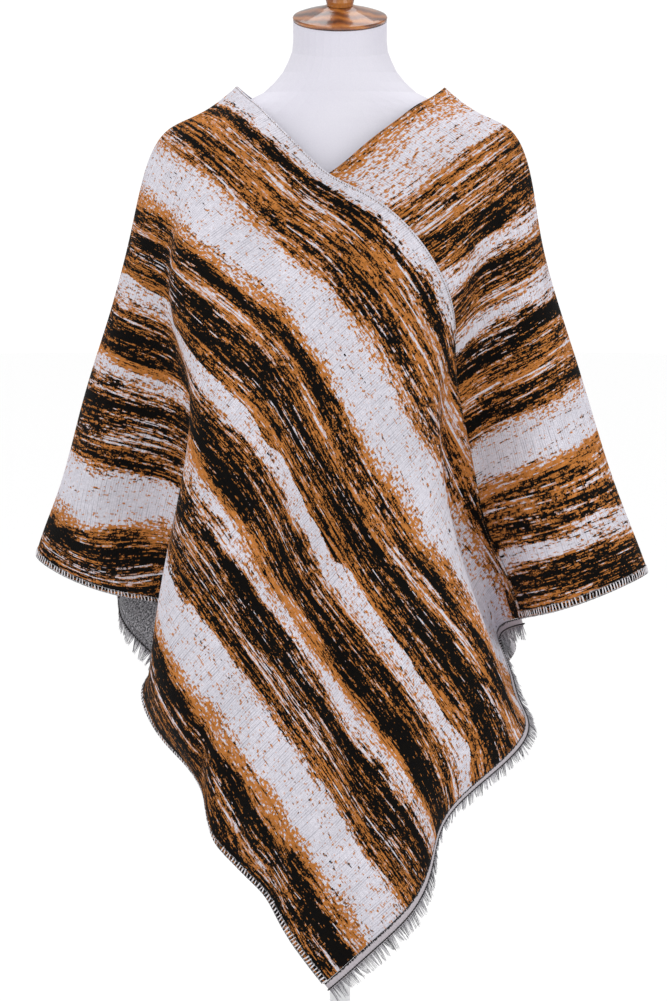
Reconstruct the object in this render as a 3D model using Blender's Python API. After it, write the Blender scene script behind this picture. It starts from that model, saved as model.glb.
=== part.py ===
"""Two-rectangle poncho on a limbless dress form, all sizes in metres."""
import math

import bmesh
import bpy
import numpy as np

for old in list(bpy.data.objects):
    bpy.data.objects.remove(old, do_unlink=True)

MM = 0.001
PEAK_Z = 1.380
AXIS_X = 0.0041
FORM_LIFT = 0.0070
PANEL_WIDTH = 0.635
HALF_NECK = 0.177
HEM = HALF_NECK + PANEL_WIDTH
CLOTH = 0.0020
LAP = 0.010
LAP_LIFT = 0.0013
SEAM_GAP = 0.0003
BAND = 0.009
STRANDS = 96
STRAND = 0.021

# Reach down the cloth from the apex of the flat pattern, one number for each section.
SECTIONS = (165, 220, 270, 315, 400, 550, 720, 920, 1170)

# Fold lines run from the neck to the hem; a row gives each section's place in mm, z from the neck peak.
FOLD_LINES = (
    {"line": "left wing edge", "turn": 0,
     "x": (-113, -156, -194, -216, -236, -279, -328, -383, -358),
     "y": (5, 7, 8, 5, 2, 7, 35, 37, -250),
     "z": (10, -26, -48, -86, -171, -316, -475, -664, -1000)},
    {"line": "left wing face", "turn": 8,
     "x": (-103, -144, -182, -201, -224, -255, -282, -260, -260),
     "y": (-17, -25, -32, -38, -48, -58, -43, 79, 474),
     "z": (2, -27, -53, -93, -177, -327, -497, -658, -644)},
    {"line": "left wing inner face", "turn": 15,
     "x": (-88, -127, -158, -177, -191, -193, -197, -131, 211),
     "y": (-30, -50, -61, -67, -81, -77, -52, -18, -249),
     "z": (-3, -30, -61, -101, -185, -336, -501, -706, -1122)},
    {"line": "left crease", "turn": 21,
     "x": (-76, -109, -134, -152, -186, -168, -162, -221, -736),
     "y": (-46, -69, -82, -91, -122, -124, -114, -72, 21),
     "z": (-4, -34, -70, -106, -187, -340, -510, -691, -850)},
    {"line": "front lobe left corner", "turn": 27,
     "x": (-65, -87, -105, -122, -155, -164, -192, -221, -263),
     "y": (-61, -83, -95, -106, -145, -179, -183, -152, 9),
     "z": (-5, -41, -79, -118, -190, -342, -511, -706, -884)},
    {"line": "front lobe left face", "turn": 36,
     "x": (-32, -49, -59, -70, -86, -98, -122, -148, -76),
     "y": (-75, -97, -109, -117, -146, -213, -257, -268, -179),
     "z": (-2, -51, -90, -130, -203, -348, -525, -730, -986)},
    {"line": "front middle", "turn": 45,
     "x": (-20, -7, -9, -12, -18, -24, -26, -13, -18),
     "y": (-84, -102, -114, -120, -141, -183, -220, -301, -317),
     "z": (34, -54, -98, -134, -210, -364, -543, -740, -991)},
    {"line": "front lobe right face", "turn": 54,
     "x": (22, 36, 43, 45, 48, 57, 81, 110, 96),
     "y": (-76, -99, -111, -117, -135, -172, -208, -245, -278),
     "z": (0, -52, -92, -131, -211, -365, -539, -739, -1024)},
    {"line": "front lobe right corner", "turn": 62,
     "x": (58, 71, 86, 95, 103, 109, 142, 202, 133),
     "y": (-70, -89, -102, -107, -118, -123, -136, -166, -108),
     "z": (-6, -44, -83, -123, -207, -365, -538, -736, -981)},
    {"line": "right crease outer", "turn": 68,
     "x": (70, 95, 116, 129, 138, 120, 134, 244, 566),
     "y": (-55, -78, -91, -95, -98, -70, -68, -85, -258),
     "z": (-3, -38, -75, -115, -202, -357, -544, -732, -892)},
    {"line": "right crease inner", "turn": 74,
     "x": (82, 117, 144, 161, 162, 161, 181, 234, -86),
     "y": (-39, -63, -74, -78, -67, -40, -32, -40, -94),
     "z": (-3, -33, -67, -107, -193, -346, -520, -726, -1227)},
    {"line": "right wing face", "turn": 81,
     "x": (99, 137, 172, 189, 206, 220, 246, 257, 89),
     "y": (-27, -40, -50, -50, -52, -55, -87, -135, -51),
     "z": (0, -29, -58, -98, -182, -334, -497, -692, -1005)},
)

# Soft troughs and ridges pressed into the hang, in flat panel millimetres.
CREASES = (
    # name, u1, v1, u2, v2 (start and end on the panel), width, depth
    ("front long valley", 380, 420, 760, 690, 34, -9),
    ("front right ridge", 520, 470, 730, 560, 30, 7),
    ("front left hem wave", 560, 700, 640, 812, 30, -8),
)

# Where the hang departs from an even half-turn symmetry.
DRIFTS = (
    # name, panel, place on the flat panel u and v, reach, shift x, y, z, all in mm
    ("left shoulder corner", "left", 0, 270, 70, -6, 0, 3),
    ("left wing edge, upper", "left", 0, 400, 120, -9, 0, 0),
    ("left wing edge, middle", "left", 0, 600, 120, -9, 0, 0),
    ("left wing corner", "left", 0, 800, 110, -11, 0, 5),
    ("right shoulder corner", "right", 0, 270, 70, 5, 0, 4),
    ("right wing corner", "right", 0, 800, 110, 4, 0, 0),
    ("left neck peak", "left", 0, 177, 45, 4, 0, 6),
    ("right neck peak", "right", 0, 177, 45, -2, 0, 4),
    ("neck point", "left", 177, 177, 70, -6, -2, -9),
    ("front seam end", "left", 812, 220, 100, -34, 12, 0),
    ("front seam, lower", "left", 700, 195, 80, -14, 8, 0),
    ("front seam fold", "left", 800, 292, 50, 11, -7, 0),
    ("front fringe, behind the fold", "left", 812, 238, 42, -12, 14, 0),
    ("back seam end", "right", 812, 190, 90, -28, 4, 0),
    ("front left corner", "left", 360, 812, 50, -9, 0, 0),
    ("front left hem, in", "left", 515, 812, 45, 8, 0, 4),
    ("front left hem, out", "left", 605, 812, 42, -10, 0, -6),
    ("front left hem, low", "left", 690, 812, 38, 5, 0, 3),
    ("front fringe, in", "left", 812, 550, 65, -10, 0, 2),
    ("front tip side", "left", 812, 740, 60, -4, 0, 5),
)

# Dress form sections: height from the neck peak, half width, front depth, back depth, squareness.
FORM_SECTIONS = (
    (79, 54.5, 54, 54, 2),
    (44, 54.5, 54, 56, 2),
    (20, 64, 57, 62, 2),
    (3, 78, 60, 66, 2),
    (-9, 92, 62, 70, 2.05),
    (-25, 128, 66, 78, 2.1),
    (-45, 166, 72, 86, 2.15),
    (-65, 184, 79, 94, 2.2),
    (-90, 193, 88, 101, 2.25),
    (-120, 192, 100, 106, 2.3),
    (-170, 176, 116, 106, 2.35),
    (-230, 152, 124, 100, 2.35),
    (-300, 132, 115, 90, 2.3),
    (-390, 114, 92, 80, 2.2),
    (-470, 126, 96, 96, 2.2),
    (-550, 137, 100, 106, 2.2),
    (-600, 137, 98, 104, 2.2),
)


def spline_weights(knots, at):
    """Weights of a natural cubic through the knots for each wanted place."""
    count = len(knots)
    step = np.diff(knots)
    left = np.zeros((count, count))
    right = np.zeros((count, count))
    left[0, 0] = left[-1, -1] = 1.0
    for i in range(1, count - 1):
        left[i, i - 1:i + 2] = step[i - 1], 2 * (step[i - 1] + step[i]), step[i]
        right[i, i - 1:i + 2] = 6 / step[i - 1], -6 / step[i - 1] - 6 / step[i], 6 / step[i]
    bend = np.linalg.solve(left, right)
    k = np.clip(np.searchsorted(knots, at) - 1, 0, count - 2)
    a = (knots[k + 1] - at) / step[k]
    b = 1 - a
    rows = np.arange(len(at))
    out = np.zeros((len(at), count))
    out[rows, k] += a
    out[rows, k + 1] += b
    h2 = step[k] ** 2 / 6
    return out + ((a ** 3 - a) * h2)[:, None] * bend[k] + ((b ** 3 - b) * h2)[:, None] * bend[k + 1]


def fold_arrays():
    """Fold lines as knots round the whole neck; each half turn repeats them turned by 180 degrees."""
    turns, index, sign = [], [], []
    for lap in (-1, 0, 1):
        for i, line in enumerate(FOLD_LINES):
            turns.append(line["turn"] + 90.0 * lap)
            index.append(i)
            sign.append(-1.0 if lap else 1.0)
    turns.append(180.0)
    index.append(0)
    sign.append(1.0)
    return np.array(turns), np.array(index), np.array(sign)


TURNS, LINE_INDEX, LINE_SIGN = fold_arrays()
LINE_X = np.array([line["x"] for line in FOLD_LINES]) * MM
LINE_Y = np.array([line["y"] for line in FOLD_LINES]) * MM
LINE_Z = np.array([line["z"] for line in FOLD_LINES]) * MM
LEVELS = np.array(SECTIONS) * MM


def hang(u, v):
    """Flat panel place to the smooth hang of the left panel."""
    turn = np.degrees(np.arctan2(u, v))
    w_turn = spline_weights(TURNS, turn)
    w_level = spline_weights(LEVELS, np.hypot(u, v))
    out = []
    for table, signed in ((LINE_X, True), (LINE_Y, True), (LINE_Z, False)):
        full = table[LINE_INDEX] * (LINE_SIGN[:, None] if signed else 1.0)
        out.append(np.einsum("nk,kl,nl->n", w_turn, full, w_level))
    out[2] = out[2] + PEAK_Z
    return np.stack(out, axis=1)


def slope_normal(place, u, v, step=0.004):
    across = place(u + step, v) - place(u - step, v)
    down = place(u, v + step) - place(u, v - step)
    n = np.cross(down, across)
    return n / np.linalg.norm(n, axis=1)[:, None]


def crease_depth(u, v, share):
    total = np.zeros(len(u))
    for _, u1, v1, u2, v2, width, depth in CREASES:
        a = np.array((u1, v1)) * MM
        d = np.array((u2, v2)) * MM - a
        length = math.hypot(*d)
        along = ((u - a[0]) * d[0] + (v - a[1]) * d[1]) / length
        off = ((u - a[0]) * d[1] - (v - a[1]) * d[0]) / length
        t = np.clip(along / length, -0.3, 1.3)
        fade = np.clip((t + 0.15) / 0.4, 0, 1) * np.clip((1.15 - t) / 0.4, 0, 1)
        fade = fade * fade * (3 - 2 * fade)
        total += share * depth * MM * fade * np.exp(-(off / (width * MM)) ** 2)
    return total


def creased(u, v, share):
    return hang(u, v) + slope_normal(hang, u, v) * crease_depth(u, v, share)[:, None]


def smooth(t):
    t = np.clip(t, 0, 1)
    return t * t * (3 - 2 * t)


def lap_lift(u, v):
    """The inner edge rides over the other panel's cut end below the neck point."""
    over = smooth((u - HALF_NECK + 0.05) / 0.04) * (1 - smooth((v - HALF_NECK - LAP) / 0.03))
    under = 1 - smooth((u + HALF_NECK) / 0.03)
    return LAP_LIFT * (over - under)


def drift(u, v, half_turn):
    """Uneven shifts; a place on one panel is also measured on the other panel's flat, across both seams."""
    total = np.zeros((len(u), 3))
    for _, panel, u0, v0, reach, x, y, z in DRIFTS:
        same = (panel == "right") == half_turn
        for a, b in (((u, v),) if same else ((-v, u), (v, -u))):
            share = np.exp(-((a - u0 * MM) ** 2 + (b - v0 * MM) ** 2) / (reach * MM) ** 2)
            total += share[:, None] * np.array((x, y, z)) * MM
    return total + np.array((AXIS_X, 0.0, 0.0))


def panel_points(u, v, half_turn, lift):
    share = 0.9 if half_turn else 1.0
    flip = np.array((-1.0, -1.0, 1.0)) if half_turn else np.ones(3)

    def place(a, b):
        return creased(a, b, share) * flip + drift(a, b, half_turn)

    return place(u, v) + slope_normal(place, u, v) * (lift + lap_lift(u, v))[:, None]


def material(name, colour, rough):
    mat = bpy.data.materials.new(name)
    mat.use_nodes = True
    shader = mat.node_tree.nodes["Principled BSDF"]
    shader.inputs["Base Color"].default_value = (*colour, 1.0)
    shader.inputs["Roughness"].default_value = rough
    mat.diffuse_color = (*colour, 1.0)
    return mat


def add_object(name, verts, faces, mat, round_piece=True):
    mesh = bpy.data.meshes.new(name)
    mesh.from_pydata([tuple(p) for p in verts], [], faces)
    bm = bmesh.new()
    bm.from_mesh(mesh)
    bmesh.ops.recalc_face_normals(bm, faces=bm.faces)
    if bm.calc_volume(signed=True) < 0:
        bmesh.ops.reverse_faces(bm, faces=bm.faces)
    bm.to_mesh(mesh)
    bm.free()
    mesh.materials.append(mat)
    obj = bpy.data.objects.new(name, mesh)
    bpy.context.scene.collection.objects.link(obj)
    for poly in mesh.polygons:
        poly.use_smooth = round_piece
    return obj


def shell_faces(rows, cols, turned_rows):
    """Faces of a closed wall: grid 0 outside, grid 1 inside, rims between.

    The rows under the lap are split the other way, so both layers of the seam bend alike."""
    top = np.arange(rows * cols).reshape(rows, cols)
    low = top + rows * cols
    faces = []
    for i in range(rows - 1):
        for j in range(cols - 1):
            for grid, flip in ((top, False), (low, True)):
                a, b, c, d = grid[i, j], grid[i + 1, j], grid[i + 1, j + 1], grid[i, j + 1]
                pair = ((a, b, d), (b, c, d)) if i < turned_rows else ((a, b, c), (a, c, d))
                faces += [tri[::-1] if flip else tri for tri in pair]
    rim = [(i, 0) for i in range(rows)] + [(rows - 1, j) for j in range(1, cols)]
    rim += [(i, cols - 1) for i in range(rows - 2, -1, -1)] + [(0, j) for j in range(cols - 2, 0, -1)]
    for k, a in enumerate(rim):
        b = rim[(k + 1) % len(rim)]
        faces.append((top[a], low[a], low[b], top[b]))
    return [tuple(int(i) for i in face) for face in faces]


def panel_lines():
    across = np.linspace(HALF_NECK + 0.040, HEM, PANEL_COLUMNS)
    v_lines = np.concatenate([[HALF_NECK, HALF_NECK + LAP, HALF_NECK + 0.022], across])
    neck = np.linspace(-HALF_NECK + 0.03, HALF_NECK - 0.02, NECK_COLUMNS)
    u_lines = np.concatenate([[-HALF_NECK - LAP, -HALF_NECK, -HALF_NECK + 0.014], neck, v_lines])
    return u_lines, v_lines


PANEL_COLUMNS = 24
NECK_COLUMNS = 12


def cloth_panel(name, half_turn, mat):
    u_lines, v_lines = panel_lines()
    u, v = np.meshgrid(u_lines, v_lines, indexing="ij")
    u, v = u.ravel(), v.ravel()
    outer = panel_points(u, v, half_turn, CLOTH / 2)
    inner = panel_points(u, v, half_turn, -CLOTH / 2)
    verts = np.concatenate([outer, inner])
    return add_object(name, verts, shell_faces(len(u_lines), len(v_lines), 2), mat)


def wobble(k, seed):
    """Repeatable uneven number between -1 and 1."""
    return math.sin(k * 12.9898 + seed * 78.233) * 43758.5453 % 2.0 - 1.0


def along_end(u, span, half_turn, lift):
    """Points beyond the panel's end that keep to the panel's own straight stretches."""
    _, v_lines = panel_lines()
    row = panel_points(np.full(len(v_lines), u), v_lines, half_turn, lift)
    return np.stack([np.interp(span, v_lines, row[:, k]) for k in range(3)], axis=1)


def fringe(name, half_turn, mat):
    """Selvage band along the panel's end with tapered strands standing from its outer edge."""
    span = np.linspace(HALF_NECK + 0.0015, HEM - 0.001, 2 * STRANDS + 1)
    u0 = HEM + SEAM_GAP
    cols = len(span)
    rows = [along_end(u0 + u_off, span, half_turn, lift * CLOTH * 0.9)
            for u_off, lift in ((0.0, 0.5), (BAND, 0.5), (BAND, -0.5), (0.0, -0.5))]
    verts = np.concatenate(rows).tolist()
    faces = []
    for j in range(cols - 1):
        a, b, c, d = (k * cols + j for k in range(4))
        faces.append((a, a + 1, b + 1, b))
        faces.append((c, c + 1, d + 1, d))
        faces.append((d, d + 1, a + 1, a))
        if j % 2:
            faces.append((b, b + 1, c + 1, c))
            continue
        k = j // 2
        mid_v = (span[j] + span[j + 1]) / 2 + 0.0010 * wobble(k, 1)
        reach = u0 + BAND + STRAND * (0.86 + 0.14 * wobble(k, 2))
        verts.append(along_end(reach, np.array([mid_v]), half_turn, 0.0)[0].tolist())
        t = len(verts) - 1
        faces += [(b, b + 1, t), (b + 1, c + 1, t), (c + 1, c, t), (c, b, t)]
    faces.append((0, cols, 2 * cols, 3 * cols))
    faces.append((cols - 1, 4 * cols - 1, 3 * cols - 1, 2 * cols - 1))
    return add_object(name, verts, faces, mat)


def ring_solid(name, rings, mat):
    """Closed solid through rings of equal count, flat ends."""
    count = len(rings[0])
    verts = [p for ring in rings for p in ring]
    faces = []
    for k in range(len(rings) - 1):
        for i in range(count):
            j = (i + 1) % count
            faces.append((k * count + i, k * count + j, (k + 1) * count + j, (k + 1) * count + i))
    faces.append(tuple(range(count)))
    faces.append(tuple(reversed(range((len(rings) - 1) * count, len(rings) * count))))
    return add_object(name, verts, faces, mat)


NECK_TILT = math.radians(16.5)
CAP_TOP = 0.0165
NECK_TOP = 0.0767
CAP_CENTRE = (AXIS_X, -0.002)


def tilt_at(height):
    return math.tan(NECK_TILT) * float(smooth(np.array([(height - 0.0) / NECK_TOP]))[0])


def form_torso(mat, segments=36):
    table = np.array(FORM_SECTIONS) * np.array((MM, MM, MM, MM, 1.0))
    heights = np.concatenate([np.linspace(NECK_TOP, -0.09, 15), np.linspace(-0.12, table[-1, 0], 12)])
    rings = []
    for h in heights:
        w, f, b, e = (np.interp(-h, -table[:, 0], table[:, k]) for k in (1, 2, 3, 4))
        ring = []
        for i in range(segments):
            t = 2 * math.pi * i / segments
            c, s = math.cos(t), math.sin(t)
            x = w * math.copysign(abs(c) ** (2 / e), c)
            y = (f if s < 0 else b) * math.copysign(abs(s) ** (2 / e), s)
            ring.append((AXIS_X + x, y, PEAK_Z + FORM_LIFT + h + y * tilt_at(h)))
        rings.append(ring)
    bottom = table[-1, 0]
    w, f, b, e = table[-1, 1:]
    for drop, shrink in ((0.012, 0.96), (0.018, 0.88)):
        ring = []
        for i in range(segments):
            t = 2 * math.pi * i / segments
            c, s = math.cos(t), math.sin(t)
            x = w * shrink * math.copysign(abs(c) ** (2 / e), c)
            y = (f if s < 0 else b) * shrink * math.copysign(abs(s) ** (2 / e), s)
            ring.append((AXIS_X + x, y, PEAK_Z + FORM_LIFT + bottom - drop))
        rings.append(ring)
    return ring_solid("form_torso", rings, mat)


def turned(name, profile, origin, tilt, mat, segments=36):
    """Lathed piece: profile rows of (height, radius), leaning forward by the tilt."""
    c, s = math.cos(tilt), math.sin(tilt)
    rings = []
    for h, r in profile:
        ring = []
        for i in range(segments):
            t = 2 * math.pi * i / segments
            x, y = r * math.cos(t), r * math.sin(t)
            ring.append((origin[0] + x, origin[1] + y * c - h * s, origin[2] + y * s + h * c))
        rings.append(ring)
    return ring_solid(name, rings, mat)


def build():
    cloth_a = material("striped_cloth_left", (0.32, 0.20, 0.14), 0.9)
    cloth_b = material("striped_cloth_right", (0.32, 0.20, 0.14), 0.9)
    yarn_a = material("fringe_yarn_front", (0.35, 0.33, 0.34), 0.95)
    yarn_b = material("fringe_yarn_back", (0.35, 0.33, 0.34), 0.95)
    jersey = material("form_jersey", (0.80, 0.78, 0.83), 0.85)
    wood_cap = material("varnished_wood_cap", (0.40, 0.16, 0.05), 0.35)
    wood_knob = material("varnished_wood_finial", (0.40, 0.16, 0.05), 0.35)
    steel = material("painted_steel_pole", (0.86, 0.86, 0.87), 0.4)
    iron = material("painted_steel_base", (0.86, 0.86, 0.87), 0.45)
    cloth_panel("panel_left", False, cloth_a)
    cloth_panel("panel_right", True, cloth_b)
    fringe("fringe_front", False, yarn_a)
    fringe("fringe_back", True, yarn_b)
    form_torso(jersey)
    top = PEAK_Z + FORM_LIFT + NECK_TOP + SEAM_GAP
    seat = (CAP_CENTRE[0], CAP_CENTRE[1], top)
    tilt = NECK_TILT
    turned("neck_cap", ((0.0, 0.0535), (0.0008, 0.0546), (0.0028, 0.0550), (0.0042, 0.0540), (0.0056, 0.0505),
                        (0.0085, 0.0420), (0.0112, 0.0320), (0.0138, 0.0230), (CAP_TOP, 0.0165)),
           seat, tilt, wood_cap, 36)
    lift = CAP_TOP + SEAM_GAP
    knob = (seat[0], seat[1] - lift * math.sin(tilt), seat[2] + lift * math.cos(tilt))
    turned("neck_finial", ((0.0, 0.0150), (0.006, 0.0165), (0.012, 0.0140), (0.022, 0.0130), (0.032, 0.0165),
                           (0.044, 0.0215), (0.056, 0.0225), (0.068, 0.0180), (0.075, 0.0090), (0.077, 0.0020)),
           knob, tilt, wood_knob, 24)
    foot = PEAK_Z + FORM_LIFT + FORM_SECTIONS[-1][0] * MM - 0.018 - SEAM_GAP
    pole = ((0.0, 0.0125), (foot - BASE_TOP - SEAM_GAP, 0.0125))
    turned("stand_pole", pole, (AXIS_X, 0.0, BASE_TOP + SEAM_GAP), 0.0, steel, 28)
    turned("stand_base", ((0.0, 0.172), (0.002, 0.175), (0.007, 0.175), (0.010, 0.170), (0.012, 0.060),
                          (0.016, 0.034), (0.042, 0.022), (BASE_TOP, 0.020)), (AXIS_X, 0.0, 0.0), 0.0, iron, 48)


BASE_TOP = 0.050
build()
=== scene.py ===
import math

import bpy
import numpy as np
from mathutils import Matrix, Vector


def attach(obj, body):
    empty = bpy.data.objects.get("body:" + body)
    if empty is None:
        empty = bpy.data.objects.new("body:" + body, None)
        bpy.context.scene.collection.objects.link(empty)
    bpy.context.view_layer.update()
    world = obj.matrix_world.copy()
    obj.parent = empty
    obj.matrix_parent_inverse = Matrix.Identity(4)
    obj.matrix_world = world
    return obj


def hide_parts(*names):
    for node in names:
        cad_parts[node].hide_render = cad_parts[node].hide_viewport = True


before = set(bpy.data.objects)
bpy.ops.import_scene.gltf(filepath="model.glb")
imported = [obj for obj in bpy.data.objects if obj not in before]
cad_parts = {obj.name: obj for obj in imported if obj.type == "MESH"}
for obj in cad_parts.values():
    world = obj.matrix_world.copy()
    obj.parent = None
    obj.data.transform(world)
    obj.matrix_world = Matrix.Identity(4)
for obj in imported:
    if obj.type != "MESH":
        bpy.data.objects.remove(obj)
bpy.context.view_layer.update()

# A two-rectangle poncho of striped knit cloth on a jersey-covered dress form.
# Both panels hang from one table of fold lines, so cloth, hems, fringe and stitches share one surface.

mm = 0.001


def hexColour(code):
    # sRGB hex to the linear colour that shaders use
    parts = [int(code[i:i + 2], 16) / 255 for i in (1, 3, 5)]
    return tuple(c / 12.92 if c <= 0.04045 else ((c + 0.055) / 1.055) ** 2.4 for c in parts) + (1.0,)


def addNode(tree, kind, settings=None, inputs=None):
    # settings are node properties, inputs go to sockets by name or number, from a node, socket or value
    node = tree.nodes.new(kind)
    for key, value in (settings or {}).items():
        setattr(node, key, value)
    for key, value in (inputs or {}).items():
        live = [s for s in node.inputs if s.enabled]
        socket = live[key] if isinstance(key, int) else next(s for s in live if s.name == key)
        if isinstance(value, bpy.types.Node):
            value = next(s for s in value.outputs if s.enabled)
        if isinstance(value, bpy.types.NodeSocket):
            tree.links.new(value, socket)
        else:
            socket.default_value = value
    return node


def mathNode(tree, operation, *values, clamp=False):
    return addNode(tree, "ShaderNodeMath", {"operation": operation, "use_clamp": clamp},
                   dict(enumerate(values)))


def fitted(tree, value, gain, offset, clamp=False):
    return mathNode(tree, "MULTIPLY_ADD", value, gain, offset, clamp=clamp)


def times(tree, first, second):
    return mathNode(tree, "MULTIPLY", first, second)


def objectPlace(tree):
    return addNode(tree, "ShaderNodeTexCoord").outputs["Object"]


def vectorNode(tree, operation, *values):
    return addNode(tree, "ShaderNodeVectorMath", {"operation": operation}, dict(enumerate(values)))


def scaled(tree, vector, factor):
    return addNode(tree, "ShaderNodeVectorMath", {"operation": "SCALE"},
                   {"Vector": vector, "Scale": factor})


def mixColours(tree, factor, first, second):
    return addNode(tree, "ShaderNodeMix", {"data_type": "RGBA"},
                   {"Factor": factor, "A": first, "B": second})


def noiseNode(tree, place, scale, detail):
    return addNode(tree, "ShaderNodeTexNoise", None, {"Vector": place, "Scale": scale, "Detail": detail})


def feed(tree, node, shader, socket):
    tree.links.new(next(s for s in node.outputs if s.enabled), shader.inputs[socket])


def addBump(tree, shader, strength, distance, height):
    feed(tree, addNode(tree, "ShaderNodeBump", None,
                       {"Strength": strength, "Distance": distance, "Height": height}), shader, "Normal")


def readNamed(tree, kind, name):
    return addNode(tree, "GeometryNodeInputNamedAttribute", {"data_type": kind}, {"Name": name})


def storeNamed(tree, kind, domain, geometry, name, value):
    return addNode(tree, "GeometryNodeStoreNamedAttribute", {"data_type": kind, "domain": domain},
                   {"Geometry": geometry, "Name": name, "Value": value})


def randomNode(tree, kind, low, high, seed):
    return addNode(tree, "FunctionNodeRandomValue", {"data_type": kind},
                   {"Min": low, "Max": high, "Seed": seed})


def evenCurve(tree, given, spacing):
    line = addNode(tree, "GeometryNodeMeshToCurve", None, {0: given["Geometry"]})
    return addNode(tree, "GeometryNodeResampleCurve", {"mode": "LENGTH"},
                   {"Curve": line, "Length": given[spacing]})


def threadSection(tree, corners, radius):
    return addNode(tree, "GeometryNodeCurvePrimitiveCircle", None,
                   {"Resolution": corners, "Radius": radius})


def threadTube(tree, path, section, size=1.0):
    return addNode(tree, "GeometryNodeCurveToMesh", None,
                   {"Curve": path, "Profile Curve": section, "Scale": size, "Fill Caps": True})


def copiesAlong(tree, line, piece, turn, size):
    return addNode(tree, "GeometryNodeInstanceOnPoints", None,
                   {"Points": line, "Instance": piece, "Rotation": turn, "Scale": size})


def newMaterial(name, roughness, constants=None):
    material = bpy.data.materials.new(name)
    material.use_nodes = True
    shader = material.node_tree.nodes["Principled BSDF"]
    shader.inputs["Roughness"].default_value = roughness
    for key, value in (constants or {}).items():
        shader.inputs[key].default_value = value
    return material, material.node_tree, shader


# The hang of the cloth, sizes in metres unless a comment says mm

hangShape = {
    "peakHeight": 1.380,      # neck peak above the floor
    "axisX": 0.0041,          # the form's axis, so that the whole footprint is centred
    "panelWidth": 0.635,      # across the stripes
    "halfNeck": 0.177,        # half of the neck edge of one panel
    "lap": 0.010,             # how far a cut end runs under the other panel
    "lapLift": 0.0013,
    "cloth": 0.0020,
    "gap": 0.0003,
    # reach down the cloth from the apex of the flat pattern, one number for each section
    "sections": (165, 220, 270, 315, 400, 550, 720, 920, 1170),
}
hangShape["hem"] = hangShape["halfNeck"] + hangShape["panelWidth"]

# each fold line: turn in degrees, then each section's place in mm, z from the neck peak
foldLines = (
    {"line": "left wing edge", "turn": 0,
     "x": (-113, -156, -194, -216, -236, -279, -328, -383, -358),
     "y": (5, 7, 8, 5, 2, 7, 35, 37, -250),
     "z": (10, -26, -48, -86, -171, -316, -475, -664, -1000)},
    {"line": "left wing face", "turn": 8,
     "x": (-103, -144, -182, -201, -224, -255, -282, -260, -260),
     "y": (-17, -25, -32, -38, -48, -58, -43, 79, 474),
     "z": (2, -27, -53, -93, -177, -327, -497, -658, -644)},
    {"line": "left wing inner face", "turn": 15,
     "x": (-88, -127, -158, -177, -191, -193, -197, -131, 211),
     "y": (-30, -50, -61, -67, -81, -77, -52, -18, -249),
     "z": (-3, -30, -61, -101, -185, -336, -501, -706, -1122)},
    {"line": "left crease", "turn": 21,
     "x": (-76, -109, -134, -152, -186, -168, -162, -221, -736),
     "y": (-46, -69, -82, -91, -122, -124, -114, -72, 21),
     "z": (-4, -34, -70, -106, -187, -340, -510, -691, -850)},
    {"line": "front lobe left corner", "turn": 27,
     "x": (-65, -87, -105, -122, -155, -164, -192, -221, -263),
     "y": (-61, -83, -95, -106, -145, -179, -183, -152, 9),
     "z": (-5, -41, -79, -118, -190, -342, -511, -706, -884)},
    {"line": "front lobe left face", "turn": 36,
     "x": (-32, -49, -59, -70, -86, -98, -122, -148, -76),
     "y": (-75, -97, -109, -117, -146, -213, -257, -268, -179),
     "z": (-2, -51, -90, -130, -203, -348, -525, -730, -986)},
    {"line": "front middle", "turn": 45,
     "x": (-20, -7, -9, -12, -18, -24, -26, -13, -18),
     "y": (-84, -102, -114, -120, -141, -183, -220, -301, -317),
     "z": (34, -54, -98, -134, -210, -364, -543, -740, -991)},
    {"line": "front lobe right face", "turn": 54,
     "x": (22, 36, 43, 45, 48, 57, 81, 110, 96),
     "y": (-76, -99, -111, -117, -135, -172, -208, -245, -278),
     "z": (0, -52, -92, -131, -211, -365, -539, -739, -1024)},
    {"line": "front lobe right corner", "turn": 62,
     "x": (58, 71, 86, 95, 103, 109, 142, 202, 133),
     "y": (-70, -89, -102, -107, -118, -123, -136, -166, -108),
     "z": (-6, -44, -83, -123, -207, -365, -538, -736, -981)},
    {"line": "right crease outer", "turn": 68,
     "x": (70, 95, 116, 129, 138, 120, 134, 244, 566),
     "y": (-55, -78, -91, -95, -98, -70, -68, -85, -258),
     "z": (-3, -38, -75, -115, -202, -357, -544, -732, -892)},
    {"line": "right crease inner", "turn": 74,
     "x": (82, 117, 144, 161, 162, 161, 181, 234, -86),
     "y": (-39, -63, -74, -78, -67, -40, -32, -40, -94),
     "z": (-3, -33, -67, -107, -193, -346, -520, -726, -1227)},
    {"line": "right wing face", "turn": 81,
     "x": (99, 137, 172, 189, 206, 220, 246, 257, 89),
     "y": (-27, -40, -50, -50, -52, -55, -87, -135, -51),
     "z": (0, -29, -58, -98, -182, -334, -497, -692, -1005)},
)

# soft troughs and ridges in mm: start u, start v, end u, end v on the flat panel, width, depth, and the
# share of the depth on the back panel
creases = (
    ("front long valley", 380, 420, 760, 690, 34, -9, 0.9),
    ("front right ridge", 520, 470, 730, 560, 30, 7, 0.9),
    ("front left hem wave", 560, 700, 640, 812, 30, -8, 0.9),
    ("front long valley, sharp part", 560, 530, 745, 680, 15, -6, 0.6),
    ("front lower valley", 545, 600, 690, 790, 18, -7, 0.7),
    ("front left hem fold", 500, 650, 545, 800, 16, -7, 0.8),
    ("front middle ridge", 560, 440, 700, 550, 18, 5, 0.5),
    ("front hem ripple, low", 700, 690, 745, 800, 15, -5, 0.6),
)


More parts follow.
